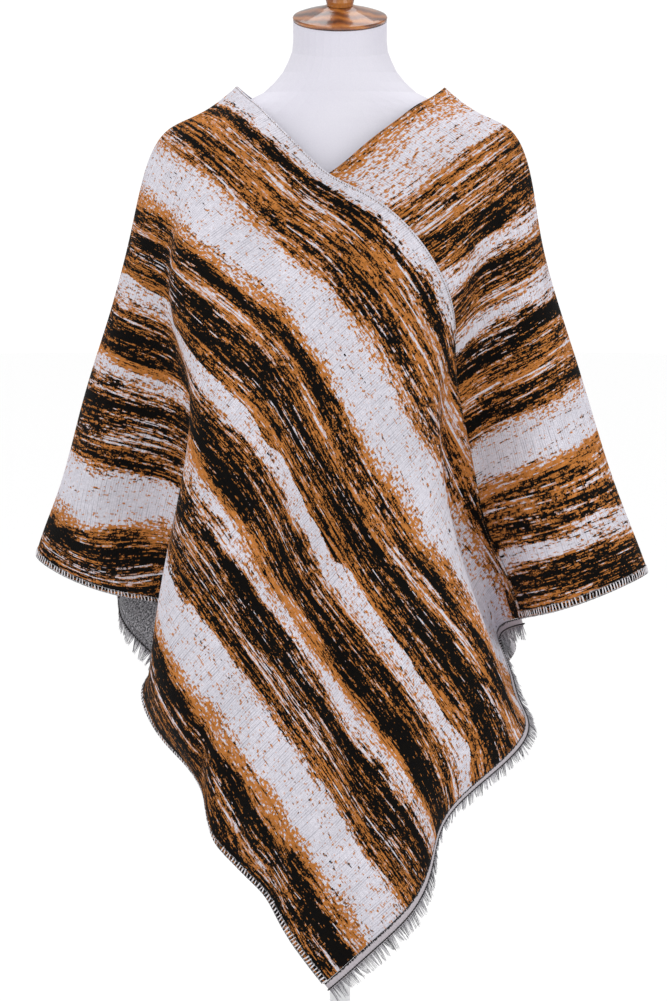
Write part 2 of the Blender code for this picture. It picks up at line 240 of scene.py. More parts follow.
# where the hang departs from an even half-turn symmetry: panel, its flat place u and v, reach, and the
# shift in x, y and z, all in mm
drifts = (
    ("left shoulder corner", "left", 0, 270, 70, -6, 0, 3),
    ("left wing edge, upper", "left", 0, 400, 120, -9, 0, 0),
    ("left wing edge, middle", "left", 0, 600, 120, -9, 0, 0),
    ("left wing corner", "left", 0, 800, 110, -11, 0, 5),
    ("right shoulder corner", "right", 0, 270, 70, 5, 0, 4),
    ("right wing corner", "right", 0, 800, 110, 4, 0, 0),
    ("left neck peak", "left", 0, 177, 45, 4, 0, 6),
    ("right neck peak", "right", 0, 177, 45, -2, 0, 4),
    ("neck point", "left", 177, 177, 70, -6, -2, -9),
    ("front seam end", "left", 812, 220, 100, -34, 12, 0),
    ("front seam, lower", "left", 700, 195, 80, -14, 8, 0),
    ("front seam fold", "left", 800, 292, 50, 11, -7, 0),
    ("front fringe, behind the fold", "left", 812, 238, 42, -12, 14, 0),
    ("back seam end", "right", 812, 190, 90, -28, 4, 0),
    ("front left corner", "left", 360, 812, 50, -9, 0, 0),
    ("front left hem, in", "left", 515, 812, 45, 8, 0, 4),
    ("front left hem, out", "left", 605, 812, 42, -10, 0, -6),
    ("front left hem, low", "left", 690, 812, 38, 5, 0, 3),
    ("front fringe, in", "left", 812, 550, 65, -10, 0, 2),
    ("front tip side", "left", 812, 740, 60, -4, 0, 5),
)


def splineWeights(knots, at):
    # weights of a natural cubic through the knots for each wanted place
    count = len(knots)
    step = np.diff(knots)
    left = np.zeros((count, count))
    right = np.zeros((count, count))
    left[0, 0] = left[-1, -1] = 1.0
    for i in range(1, count - 1):
        left[i, i - 1:i + 2] = step[i - 1], 2 * (step[i - 1] + step[i]), step[i]
        right[i, i - 1:i + 2] = 6 / step[i - 1], -6 / step[i - 1] - 6 / step[i], 6 / step[i]
    bend = np.linalg.solve(left, right)
    k = np.clip(np.searchsorted(knots, at) - 1, 0, count - 2)
    a = (knots[k + 1] - at) / step[k]
    b = 1 - a
    rows = np.arange(len(at))
    out = np.zeros((len(at), count))
    out[rows, k] += a
    out[rows, k + 1] += b
    square = step[k] ** 2 / 6
    bendA, bendB = ((w ** 3 - w) * square for w in (a, b))
    return out + bendA[:, None] * bend[k] + bendB[:, None] * bend[k + 1]


def foldKnots():
    # the lines go round the whole neck, each quarter of the pattern turned by half a turn in space
    turns, index, sign = [], [], []
    for lap in (-1, 0, 1):
        for i, line in enumerate(foldLines):
            turns.append(line["turn"] + 90.0 * lap)
            index.append(i)
            sign.append(-1.0 if lap else 1.0)
    return np.array(turns + [180.0]), np.array(index + [0]), np.array(sign + [1.0])


knotTurns, knotIndex, knotSign = foldKnots()
lineTables = {axis: np.array([line[axis] for line in foldLines]) * mm for axis in "xyz"}
knotReach = np.array(hangShape["sections"]) * mm


def hang(u, v):
    # flat place (u along the stripes, v across, both from the apex) to the smooth hang
    turnWeights = splineWeights(knotTurns, np.degrees(np.arctan2(u, v)))
    reachWeights = splineWeights(knotReach, np.hypot(u, v))
    place = []
    for axis in "xyz":
        table = lineTables[axis][knotIndex] * (knotSign[:, None] if axis != "z" else 1.0)
        place.append(np.sum((turnWeights @ table) * reachWeights, axis=1))
    place[2] = place[2] + hangShape["peakHeight"]
    return np.stack(place, axis=1)


def clothNormal(place, u, v, step=0.004):
    along = place(u + step, v) - place(u - step, v)
    across = place(u, v + step) - place(u, v - step)
    n = np.cross(across, along)
    return n / np.linalg.norm(n, axis=1)[:, None]


def smooth(t):
    t = np.clip(t, 0, 1)
    return t * t * (3 - 2 * t)


def creaseDepth(u, v, turned):
    total = np.zeros(len(u))
    for _, u1, v1, u2, v2, width, depth, backShare in creases:
        run = np.array((u2 - u1, v2 - v1)) * mm
        length = math.hypot(*run)
        along = ((u - u1 * mm) * run[0] + (v - v1 * mm) * run[1]) / length
        off = ((u - u1 * mm) * run[1] - (v - v1 * mm) * run[0]) / length
        t = np.clip(along / length, -0.3, 1.3)
        fade = smooth((t + 0.15) / 0.4) * smooth((1.15 - t) / 0.4)
        total += (backShare if turned else 1.0) * depth * mm * fade * np.exp(-(off / (width * mm)) ** 2)
    return total


def lapLift(u, v):
    # the inner edge rides over the other panel's cut end below the neck point
    halfNeck, lap = hangShape["halfNeck"], hangShape["lap"]
    over = smooth((u - halfNeck + 0.05) / 0.04) * (1 - smooth((v - halfNeck - lap) / 0.03))
    under = 1 - smooth((u + halfNeck) / 0.03)
    return hangShape["lapLift"] * (over - under)


def drift(u, v, turned):
    # a place on one panel is also measured on the other panel's flat, across both seams
    total = np.zeros((len(u), 3)) + np.array((hangShape["axisX"], 0.0, 0.0))
    for _, panel, u0, v0, reach, *shift in drifts:
        same = (panel == "right") == turned
        for a, b in (((u, v),) if same else ((-v, u), (v, -u))):
            share = np.exp(-((a - u0 * mm) ** 2 + (b - v0 * mm) ** 2) / (reach * mm) ** 2)
            total += share[:, None] * np.array(shift) * mm
    return total


def panelFrame(u, v, turned):
    # place and outward direction on the middle of the cloth
    flip = np.array((-1.0, -1.0, 1.0)) if turned else np.ones(3)

    def place(a, b):
        creased = hang(a, b) + clothNormal(hang, a, b) * creaseDepth(a, b, turned)[:, None]
        return creased * flip + drift(a, b, turned)

    outward = clothNormal(place, u, v)
    return place(u, v) + outward * lapLift(u, v)[:, None], outward


def newObject(name, verts, faces, materials, maps=None, backFaces=None):
    mesh = bpy.data.meshes.new(name)
    mesh.from_pydata([tuple(map(float, p)) for p in verts], [], faces)
    for material in materials:
        mesh.materials.append(material)
    for key, places in (maps or {}).items():
        layer = mesh.uv_layers.new(name=key)
        index = np.zeros(len(mesh.loops), dtype=np.int32)
        mesh.loops.foreach_get("vertex_index", index)
        layer.data.foreach_set("uv", np.asarray(places, dtype=np.float32)[index].ravel())
    mesh.polygons.foreach_set("use_smooth", np.ones(len(faces), dtype=bool))
    if backFaces is not None:
        mesh.polygons.foreach_set("material_index", np.asarray(backFaces, dtype=np.int32))
    mesh.update()
    piece = bpy.data.objects.new(name, mesh)
    bpy.context.scene.collection.objects.link(piece)
    return piece


def shellGrid(uLines, vLines, turned, thickness):
    # closed wall on a grid: faces of the outside, the inside and the rims
    u, v = (a.ravel() for a in np.meshgrid(uLines, vLines, indexing="ij"))
    spot, outward = panelFrame(u, v, turned)
    verts = np.concatenate([spot + outward * thickness / 2, spot - outward * thickness / 2])
    flat = np.tile(np.stack([u, v], axis=1), (2, 1))
    rows, cols = len(uLines), len(vLines)
    top = np.arange(rows * cols).reshape(rows, cols)
    quads = np.stack([top[:-1, :-1], top[1:, :-1], top[1:, 1:], top[:-1, 1:]], axis=-1).reshape(-1, 4)
    rim = [top[i, 0] for i in range(rows)] + [top[-1, j] for j in range(1, cols)]
    rim += [top[i, -1] for i in range(rows - 2, -1, -1)] + [top[0, j] for j in range(cols - 2, 0, -1)]
    rim = np.array(rim)
    after = np.roll(rim, -1)
    low = rows * cols
    rims = np.stack([rim, rim + low, after + low, after], axis=-1)
    outside, inside = quads[:, ::-1], quads + low
    sample = quads[len(quads) // 2]
    a, b, d = (verts[sample[k]] for k in (0, 1, 3))
    if np.dot(np.cross(b - a, d - a), outward[sample[0]]) > 0:
        outside, inside = quads, (quads + low)[:, ::-1]
    else:
        rims = rims[:, ::-1]
    faces = np.concatenate([outside, inside, rims]).tolist()
    back = [0] * len(outside) + [1] * len(inside) + [0] * len(rims)
    return verts, faces, flat, back


def carrierLine(name, u, v, turned, alongU, lift=0.0, side=1.0):
    # a polyline on the cloth that carries outward and down directions for Geometry Nodes
    spot, outward = panelFrame(u, v, turned)
    step = 0.002 * side
    ahead = panelFrame(u, v + step, turned)[0] if alongU else panelFrame(u + step, v, turned)[0]
    down = ahead - spot
    down -= outward * np.sum(down * outward, axis=1)[:, None]
    down /= np.linalg.norm(down, axis=1)[:, None]
    mesh = bpy.data.meshes.new(name)
    points = spot + outward * lift
    mesh.from_pydata([tuple(map(float, p)) for p in points], [(i, i + 1) for i in range(len(u) - 1)], [])
    for key, data in (("outward", outward), ("down", down)):
        layer = mesh.attributes.new(key, "FLOAT_VECTOR", "POINT")
        layer.data.foreach_set("vector", data.astype(np.float32).ravel())
    carrier = bpy.data.objects.new(name, mesh)
    bpy.context.scene.collection.objects.link(carrier)
    return carrier


def growOn(carrier, tree, values):
    # runs the tree on the carrier and keeps the result as a plain mesh
    modifier = carrier.modifiers.new(tree.name, "NODES")
    modifier.node_group = tree
    for item in tree.interface.items_tree:
        if item.item_type == "SOCKET" and item.in_out == "INPUT" and item.name in values:
            modifier[item.identifier] = values[item.name]
    evaluated = carrier.evaluated_get(bpy.context.evaluated_depsgraph_get())
    mesh = bpy.data.meshes.new_from_object(evaluated)
    name = carrier.name
    old = carrier.data
    carrier.modifiers.clear()
    bpy.data.objects.remove(carrier, do_unlink=True)
    bpy.data.meshes.remove(old)
    mesh.name = name
    piece = bpy.data.objects.new(name, mesh)
    bpy.context.scene.collection.objects.link(piece)
    for polygon in mesh.polygons:
        polygon.use_smooth = True
    return piece


def joinPieces(name, pieces):
    with bpy.context.temp_override(active_object=pieces[0], selected_editable_objects=pieces):
        bpy.ops.object.join()
    pieces[0].name = name
    return pieces[0]


def newTree(name, inputs):
    tree = bpy.data.node_groups.new(name, "GeometryNodeTree")
    tree.interface.new_socket("Geometry", in_out="INPUT", socket_type="NodeSocketGeometry")
    for key, value in inputs.items():
        kind = "NodeSocketInt" if isinstance(value, int) else "NodeSocketFloat"
        if isinstance(value, bpy.types.Material):
            kind = "NodeSocketMaterial"
        socket = tree.interface.new_socket(key, in_out="INPUT", socket_type=kind)
        socket.default_value = value
    tree.interface.new_socket("Geometry", in_out="OUTPUT", socket_type="NodeSocketGeometry")
    return tree, tree.nodes.new("NodeGroupInput").outputs


def closeTree(tree, geometry, material):
    real = addNode(tree, "GeometryNodeRealizeInstances", inputs={0: geometry})
    dressed = addNode(tree, "GeometryNodeSetMaterial", inputs={"Geometry": real, "Material": material})
    out = tree.nodes.new("NodeGroupOutput")
    tree.links.new(dressed.outputs[0], out.inputs[0])
    return tree


# The striped cloth

knitColours = {"ivory": "#e6e3ec", "ivoryShade": "#d3d0da", "rust": "#d68a48", "rustShade": "#a06128",
               "black": "#08090c", "blackWarm": "#130f0a", "hatch": "#6d6a75"}

# bands across the stripes: from and to in mm from the neck edge, share of ivory, share of rust in the
# rest, and how far the ivory breaks into specks (1) or long streaks (0)
leftBands = (
    (0, 12, 0.93, 0.98, 0.9), (12, 38, 0.05, 0.28, 0.1), (38, 56, 0.38, 0.80, 0.0),
    (56, 78, 0.14, 0.60, 0.0), (78, 100, 0.20, 0.42, 0.0), (100, 110, 0.50, 0.97, 0.8),
    (110, 162, 0.93, 1.00, 1.0), (162, 176, 0.34, 0.92, 0.8), (176, 199, 0.03, 0.20, 0.1),
    (199, 211, 0.36, 0.80, 0.1), (211, 259, 0.10, 0.30, 0.0), (259, 281, 0.10, 0.55, 0.1),
    (281, 308, 0.75, 0.98, 0.8), (308, 341, 0.10, 0.42, 0.0), (341, 372, 0.03, 0.25, 0.1),
    (372, 382, 0.20, 0.85, 0.4), (382, 401, 0.70, 0.96, 0.7), (401, 437, 0.04, 0.24, 0.1),
    (437, 475, 0.25, 0.48, 0.0), (475, 500, 0.12, 0.45, 0.3), (500, 555, 0.90, 1.00, 1.0),
    (555, 568, 0.30, 0.92, 0.8), (568, 602, 0.04, 0.24, 0.1), (602, 611, 0.34, 0.55, 0.0),
    (611, 640, 0.04, 0.36, 0.2),
)
rightBands = (
    (0, 5, 0.10, 0.45, 0.6), (5, 36, 0.46, 0.98, 0.8), (36, 84, 0.68, 0.98, 0.6),
    (84, 128, 0.14, 0.52, 0.0), (128, 142, 0.36, 0.75, 0.0), (142, 196, 0.06, 0.38, 0.1),
    (196, 220, 0.74, 0.96, 0.6), (220, 278, 0.08, 0.42, 0.0), (278, 308, 0.72, 0.94, 0.5),
    (308, 344, 0.04, 0.20, 0.0), (344, 368, 0.10, 0.50, 0.0), (368, 390, 0.32, 0.78, 0.0),
    (390, 426, 0.06, 0.34, 0.1), (426, 446, 0.60, 0.96, 0.9), (446, 496, 0.86, 0.98, 0.7),
    (496, 508, 0.20, 0.80, 0.3), (508, 540, 0.26, 0.62, 0.0), (540, 560, 0.06, 0.36, 0.1),
    (560, 580, 0.80, 0.95, 0.6), (580, 640, 0.05, 0.38, 0.0),
)

# where the bands stray across the cloth, as the dyed lengths of yarn let them; each row in mm: place along
# the stripes, place across them from the neck edge, and how far the bands move towards that edge
bandStrays = {
    "reachAlong": 95.0, "reachAcross": 52.0,
    "left": (
        (50, 140, -4), (290, 140, -5), (316, 104, 1), (308, 164, 4), (372, 124, -19), (340, 160, 8),
        (432, 128, -23), (396, 172, -4), (496, 132, -27), (452, 184, -16), (524, 200, -32),
        (576, 208, -40), (616, 212, -44), (692, 216, -48), (600, 160, -26), (344, 48, 0),
        (404, 56, -8), (464, 48, 0), (430, 5, 6), (528, 12, 36), (568, 5, 46), (610, 5, 66),
        (652, 10, 84), (712, 8, 97), (784, 20, 88), (590, 70, 40), (640, 70, 50), (700, 80, 50),
        (780, 90, 35), (60, 272, 22), (270, 288, 6), (430, 290, 6), (560, 320, -26), (700, 342, -48),
        (790, 332, -38), (60, 362, 30), (180, 358, 35), (330, 368, 23), (500, 378, 13), (612, 396, -5),
        (712, 420, -28), (792, 412, -21), (10, 536, -6), (125, 496, 31), (384, 484, 44),
        (528, 484, 43), (620, 504, 23), (708, 528, -1), (800, 536, -9), (-140, 140, 0), (-140, 280, 6),
        (-140, 360, 10), (-60, 440, 12), (-140, 450, 6), (-140, 540, 0),
    ),
    "right": (
        (-120, 60, 0), (0, 60, 2), (-100, 205, 10), (20, 205, 17), (-130, 293, 10), (-60, 293, 30),
        (30, 293, 31), (-140, 375, 20), (-60, 375, 35), (40, 375, 35), (-140, 465, 36), (-60, 465, 41),
        (40, 465, 47), (-60, 520, 8), (-60, 570, 4), (60, 570, 2), (300, 300, 10), (640, 160, -20),
        (640, 480, 18),
    ),
}

knitGrain = {
    "stitch": (1.4, 1.05),          # jacquard pixel along and across, mm
    "hatchPitch": 2.65,             # cross yarns that show as thin lines in the ivory
    # noise fields: length along and across the stripes in mm, detail
    "fields": {"wander": (170, 110, 1), "waver": (60, 26, 1), "lens": (110, 10, 0), "line": (85, 2.7, 0),
               "streak": (38, 3.0, 0), "thread": (19, 1.6, 0), "fleck": (5.5, 1.45, 0),
               "speck": (3.0, 2.5, 0), "cross": (3.1, 26, 0), "cloud": (70, 60, 1), "tint": (7, 3, 0)},
    "wander": 10.0, "waver": 14.0,    # how far the bands waver, mm
    "softEdge": 10.0,               # over how many mm one band runs into the next
    "ribPitch": 1.8,                # mm
    "crisp": 4.5,                   # how hard a fleck's edge is
    # gain and offset that let a share of 0 or 1 clear the whole spread of its field
    "shareFit": ((0, 1.13, -0.10), (1, 1.04, -0.07)),
    # weight of each noise field in the three fleck patterns, and the gain back to a full spread
    "rustFlecks": ({"lens": 0.18, "line": 0.16, "streak": 0.13, "thread": 0.22, "fleck": 0.22,
                    "grain": 0.09}, 3.9),
    "ivoryStreaks": ({"lens": 0.16, "line": 0.38, "thread": 0.22, "fleck": 0.20, "grain": 0.04}, 3.7),
    "ivorySpecks": ({"lens": 0.10, "streak": 0.14, "fleck": 0.24, "speck": 0.46, "grain": 0.06}, 3.6),
}


def bandRamp(tree, place, bands, first, last):
    ramp = addNode(tree, "ShaderNodeValToRGB", inputs={0: place})
    stops = []
    for low, high, ivory, rust, speck in bands[first:last]:
        soft = min(knitGrain["softEdge"], (high - low) / 2 - 0.4)
        stops += [(low + soft, ivory, rust, speck), (high - soft, ivory, rust, speck)]
    span = bands[-1][1]
    line = ramp.color_ramp.elements
    for index, (at, *shares) in enumerate(stops):
        stop = line[index] if index < 2 else line.new(at / span)
        stop.position = at / span
        stop.color = (*shares, 1.0)
    return ramp


def stripedKnit(name, bands, seed):
    # Brushed acrylic jacquard knit: space-dyed bands broken into stitch-sized flecks, matt, soft fuzz at
    # grazing angles and a fine rib across the stripes.
    material, tree, shader = newMaterial(name, 0.95, {"Sheen Weight": 0.02, "Sheen Roughness": 0.5,
                                                      "Specular IOR Level": 0.06})
    flat = addNode(tree, "ShaderNodeUVMap", {"uv_map": "flat"})
    place = scaled(tree, flat, 1000.0)
    strayed = addNode(tree, "ShaderNodeUVMap", {"uv_map": "bands"})
    strayed = scaled(tree, strayed, 1000.0)
    stitch = vectorNode(tree, "SNAP", strayed, (*knitGrain["stitch"], 1.0))
    noise = {}
    for index, (field, (along, across, detail)) in enumerate(knitGrain["fields"].items()):
        spot = vectorNode(tree, "MULTIPLY_ADD", stitch, (1 / along, 1 / across, 0.0),
                          (seed * 7.31, index * 11.7, seed + index * 3.1))
        noise[field] = addNode(tree, "ShaderNodeTexNoise", None,
                               {"Vector": spot, "Scale": 1.0, "Detail": float(detail), "Roughness": 0.5})
    noise["grain"] = addNode(tree, "ShaderNodeTexWhiteNoise", {"noise_dimensions": "2D"},
                             {"Vector": stitch})
    parts = addNode(tree, "ShaderNodeSeparateXYZ", None, {0: stitch})
    shift = fitted(tree, noise["wander"], 2 * knitGrain["wander"],
                     -knitGrain["wander"] - knitGrain["waver"] - hangShape["halfNeck"] * 1000)
    shift = fitted(tree, noise["waver"], 2 * knitGrain["waver"], shift)
    across = mathNode(tree, "ADD", parts.outputs[1], shift)
    span = bands[-1][1]
    share = mathNode(tree, "DIVIDE", across, float(span))
    half = len(bands) // 2
    low = bandRamp(tree, share, bands, 0, half)
    high = bandRamp(tree, share, bands, half, len(bands))
    upper = mathNode(tree, "GREATER_THAN", share, bands[half][0] / span)
    shares = mixColours(tree, upper, low, high)
    channel = addNode(tree, "ShaderNodeSeparateColor", None, {0: shares})
    ivoryShare, rustShare = (fitted(tree, channel.outputs[k], gain, base)
                             for k, gain, base in knitGrain["shareFit"])
    speckShare = channel.outputs[2]

    def blend(weights, gain):
        # weighted fields stretched back to a full spread round one half
        total = None
        for field, weight in weights.items():
            base = 0.5 - gain * sum(weights.values()) / 2 if total is None else total
            total = fitted(tree, noise[field], weight * gain, base)
        return total

    rustField = blend(*knitGrain["rustFlecks"])
    streakField = blend(*knitGrain["ivoryStreaks"])
    speckField = blend(*knitGrain["ivorySpecks"])
    ivoryField = addNode(tree, "ShaderNodeMix", {"data_type": "FLOAT"},
                         {"Factor": speckShare, "A": streakField, "B": speckField})

    def chosen(shareSocket, field):
        # one where the field lies under the share, with a short soft edge
        lead = mathNode(tree, "SUBTRACT", shareSocket, field)
        return fitted(tree, lead, knitGrain["crisp"], 0.5, clamp=True)

    isRust = chosen(rustShare, rustField)
    isIvory = chosen(ivoryShare, ivoryField)
    tones = {}
    for tone, (light, dark) in {"ivory": ("ivory", "ivoryShade"), "rust": ("rust", "rustShade"),
                                "black": ("black", "blackWarm")}.items():
        tones[tone] = mixColours(tree, noise["tint"], hexColour(knitColours[light]),
                                 hexColour(knitColours[dark]))
    ground = mixColours(tree, isRust, tones["black"], tones["rust"])
    # cross yarns at the hatch pitch, broken by the specks
    raw = addNode(tree, "ShaderNodeSeparateXYZ", None, {0: place})
    wave = times(tree, raw.outputs[0], 2 * math.pi / knitGrain["hatchPitch"])
    wave = mathNode(tree, "SINE", wave)
    gate = fitted(tree, noise["cross"], 2.2, -1.6)
    hatch = mathNode(tree, "ADD", wave, gate, clamp=True)
    hatch = times(tree, hatch, 0.5)
    paleCloth = mixColours(tree, hatch, tones["ivory"], hexColour(knitColours["hatch"]))
    cloth = mixColours(tree, isIvory, ground, paleCloth)
    cloud = addNode(tree, "ShaderNodeMapRange", None,
                    {"Value": noise["cloud"], "From Min": 0.3, "From Max": 0.7,
                     "To Min": 0.93, "To Max": 1.05})
    cloud = fitted(tree, noise["grain"], 0.16, cloud)
    cloud = mathNode(tree, "SUBTRACT", cloud, 0.08)
    coloured = scaled(tree, cloth, cloud)
    feed(tree, coloured, shader, "Base Color")
    rib = times(tree, raw.outputs[1], 2 * math.pi / knitGrain["ribPitch"])
    rib = mathNode(tree, "SINE", rib)
    relief = mathNode(tree, "ADD", wave, rib)
    relief = fitted(tree, noise["speck"], 2.5, relief)
    addBump(tree, shader, 0.35, 0.0003, relief)
    return material


def knitReverse():
    # The wrong side of the jacquard: black and white floats mixed to a grey, rougher than the face.
    material, tree, shader = newMaterial("knit floats reverse", 0.95, {"Sheen Weight": 0.1,
                                                                       "Specular IOR Level": 0.2})
    flat = addNode(tree, "ShaderNodeUVMap", {"uv_map": "flat"})
    spot = vectorNode(tree, "MULTIPLY", flat, (1000 / 2.4, 1000 / 1.8, 0.0))
    fleck = noiseNode(tree, spot, 1.0, 2.0)
    ramp = addNode(tree, "ShaderNodeValToRGB", None, {0: fleck})
    line = ramp.color_ramp.elements
    line[0].position, line[0].color = 0.36, hexColour("#3a3a3e")
    line[1].position, line[1].color = 0.68, hexColour("#c2c0c5")
    line.new(0.52).color = hexColour("#8b898d")
    feed(tree, ramp, shader, "Base Color")
    addBump(tree, shader, 0.5, 0.0004, fleck)
    return material


clothPieces = {"gridStep": 0.0052,
               "names": (("clothLeft", "panel_left", False), ("clothRight", "panel_right", True))}
reverse = knitReverse()
knits = (stripedKnit("space-dyed jacquard knit left", leftBands, 3.0),
         stripedKnit("space-dyed jacquard knit right", rightBands, 8.0))


def bandMap(flat, turned):
    # the flat map with the bands' own stray added, a smooth average of the nearest rows
    u, across = flat[:, 0] / mm, (flat[:, 1] - hangShape["halfNeck"]) / mm
    total, weight = np.zeros(len(u)), np.full(len(u), 1e-6)
    for u0, across0, stray in bandStrays["right" if turned else "left"]:
        near = np.exp(-((u - u0) / bandStrays["reachAlong"]) ** 2
                      - ((across - across0) / bandStrays["reachAcross"]) ** 2)
        total += near * stray
        weight += near
    return np.stack([flat[:, 0], flat[:, 1] + total / weight * mm], axis=1)


def evenLines(low, high, step):
    return np.linspace(low, high, int(round((high - low) / step)) + 1)


cloths = []
for (name, _, turned), knit in zip(clothPieces["names"], knits):
    halfNeck, hem = hangShape["halfNeck"], hangShape["hem"]
    uLines = evenLines(-halfNeck - hangShape["lap"], hem, clothPieces["gridStep"])
    vLines = evenLines(halfNeck, hem, clothPieces["gridStep"])
    verts, faces, flat, back = shellGrid(uLines, vLines, turned, hangShape["cloth"])
    maps = {"flat": flat, "bands": bandMap(flat, turned)}
    cloths.append(newObject(name, verts, faces, (knit, reverse), maps, back))
    print(name, len(faces), "faces")


# Threads and trims

threadLooks = {"pale": "#efebef", "dark": "#1d1d20", "darkShade": "#2a2523", "seam": "#8f7158",
               "seamShade": "#59422f", "fringeLight": "#bdbac0", "fringeDark": "#4a494d"}


def spunThread(name, light, dark, share):
    # Two-ply spun polyester sewing thread: matt, with pale and dark cones run together.
    material, tree, shader = newMaterial(name, 0.8, {"Sheen Weight": 0.15, "Specular IOR Level": 0.3})
    twin = addNode(tree, "ShaderNodeAttribute", {"attribute_name": "twin"})
    spot = objectPlace(tree)
    fleck = noiseNode(tree, spot, 700.0, 1.0)
    pick = fitted(tree, fleck, 0.5, -0.25 - share)
    pick = mathNode(tree, "ADD", twin.outputs["Fac"], pick)
    pick = fitted(tree, pick, 5.0, 0.5, clamp=True)
    colour = mixColours(tree, pick, hexColour(light), hexColour(dark))
    feed(tree, colour, shader, "Base Color")
    addBump(tree, shader, 0.3, 0.0002, fleck)
    return material


hemThread = spunThread("overlock thread pale and black", threadLooks["pale"], threadLooks["dark"], 0.93)
blackThread = spunThread("stitching thread black", threadLooks["dark"], threadLooks["darkShade"], 0.5)
seamThread = spunThread("seam thread brown", threadLooks["seam"], threadLooks["seamShade"], 0.5)
fringeYarn = spunThread("fringe yarn grey", threadLooks["fringeLight"], threadLooks["fringeDark"], 0.62)

hemStitch = {"Pitch": 0.0041, "Reach": 0.0072, "Thread radius": 0.00078, "Cloth": 0.0010, "Jitter": 0.16,
             "Seed": 11}
runStitch = {"Pitch": 0.0034, "Stitch length": 0.0026, "Thread radius": 0.00035, "Seed": 5}
# the loop's curve as shares of the reach, cloth and pitch, and the long threads' places and heights
loopCurve = {"handle": 0.33, "overshoot": 0.0022, "height": 1.9, "slant": 0.45}
longThreads = {"needle line": (-0.96, 1.25), "edge chain": (0.16, 0.9)}
longThreadTone = 0.99
fringeCut = {"Spacing": 0.0006, "Length": 0.0185, "Thread radius": 0.00031, "Clump width": 0.0062,
             "Spread": 0.0026, "Seed": 23}
# how the yarns of the fringe lie: gain and offset pairs, and shares of their length
yarnHabit = {"shortest": 0.84, "clumpLength": (0.28, 0.78), "clumpDrift": 3.0, "driftScale": 0.35,
             "pull": (-0.6, 0.3), "clumpLean": (2.4, -1.2), "ownLean": 0.35, "clumpLift": (1.4, -0.7),
             "ownLift": 0.5, "lateBend": 1.5, "taper": (1.15, 0.45)}


def axesOf(tree):
    outward = readNamed(tree, "FLOAT_VECTOR", "outward")
    down = readNamed(tree, "FLOAT_VECTOR", "down")
    turn = addNode(tree, "FunctionNodeAxesToRotation", {"primary_axis": "Z", "secondary_axis": "Y"},
                   {"Primary Axis": outward, "Secondary Axis": down})
    return outward, down, turn


def overlockTree(material):
    # hairpin loops round the raw edge, with the needle line and the edge chain as two long threads
    tree, given = newTree("overlockStitches", {**hemStitch, "Material": material})
    line = evenCurve(tree, given, "Pitch")
    outward, down, turn = axesOf(tree)

    def corner(x, y, z):
        return addNode(tree, "ShaderNodeCombineXYZ", None, {0: x, 1: y, 2: z})

    reachBack = times(tree, given["Reach"], -1.0)
    handle = fitted(tree, given["Reach"], loopCurve["handle"], loopCurve["overshoot"])
    above = fitted(tree, given["Cloth"], loopCurve["height"], 0.0)
    below = times(tree, above, -1.0)
    slant = times(tree, given["Pitch"], loopCurve["slant"])
    path = addNode(tree, "GeometryNodeCurvePrimitiveBezierSegment", None,
                   {"Resolution": 8, "Start": corner(0.0, reachBack, given["Cloth"]),
                    "Start Handle": corner(0.0, handle, above), "End Handle": corner(slant, handle, below),
                    "End": corner(slant, reachBack, below)})
    section = threadSection(tree, 4, given["Thread radius"])
    loop = threadTube(tree, path, section)
    stretch = randomNode(tree, "FLOAT_VECTOR", (0.8, 0.86, 0.95), (1.2, 1.12, 1.1), given["Seed"])
    loops = copiesAlong(tree, line, loop, turn, stretch)
    jitterLow = times(tree, given["Jitter"], -1.0)
    lean = randomNode(tree, "FLOAT", jitterLow, given["Jitter"], 3)
    leanTurn = addNode(tree, "FunctionNodeEulerToRotation", None, {0: corner(0.0, 0.0, lean)})
    loops = addNode(tree, "GeometryNodeRotateInstances", None, {"Instances": loops, "Rotation": leanTurn})
    twin = randomNode(tree, "FLOAT", 0.0, 1.0, 7)
    loops = storeNamed(tree, "FLOAT", "INSTANCE", loops, "twin", twin)
    parts = [loops]
    for back, lift in longThreads.values():
        run = times(tree, given["Reach"], back)
        rise = times(tree, given["Cloth"], lift)
        moveDown = scaled(tree, down, run)
        moveOut = scaled(tree, outward, rise)
        move = vectorNode(tree, "ADD", moveDown, moveOut)
        thread = addNode(tree, "GeometryNodeSetPosition", None, {"Geometry": line, "Offset": move})
        small = threadSection(tree, 3, given["Thread radius"])
        tube = threadTube(tree, thread, small, 0.8)
        parts.append(storeNamed(tree, "FLOAT", "POINT", tube, "twin", longThreadTone))
    join = addNode(tree, "GeometryNodeJoinGeometry")
    for part in parts:
        tree.links.new(part.outputs[0], join.inputs[0])
    return closeTree(tree, join, given["Material"])


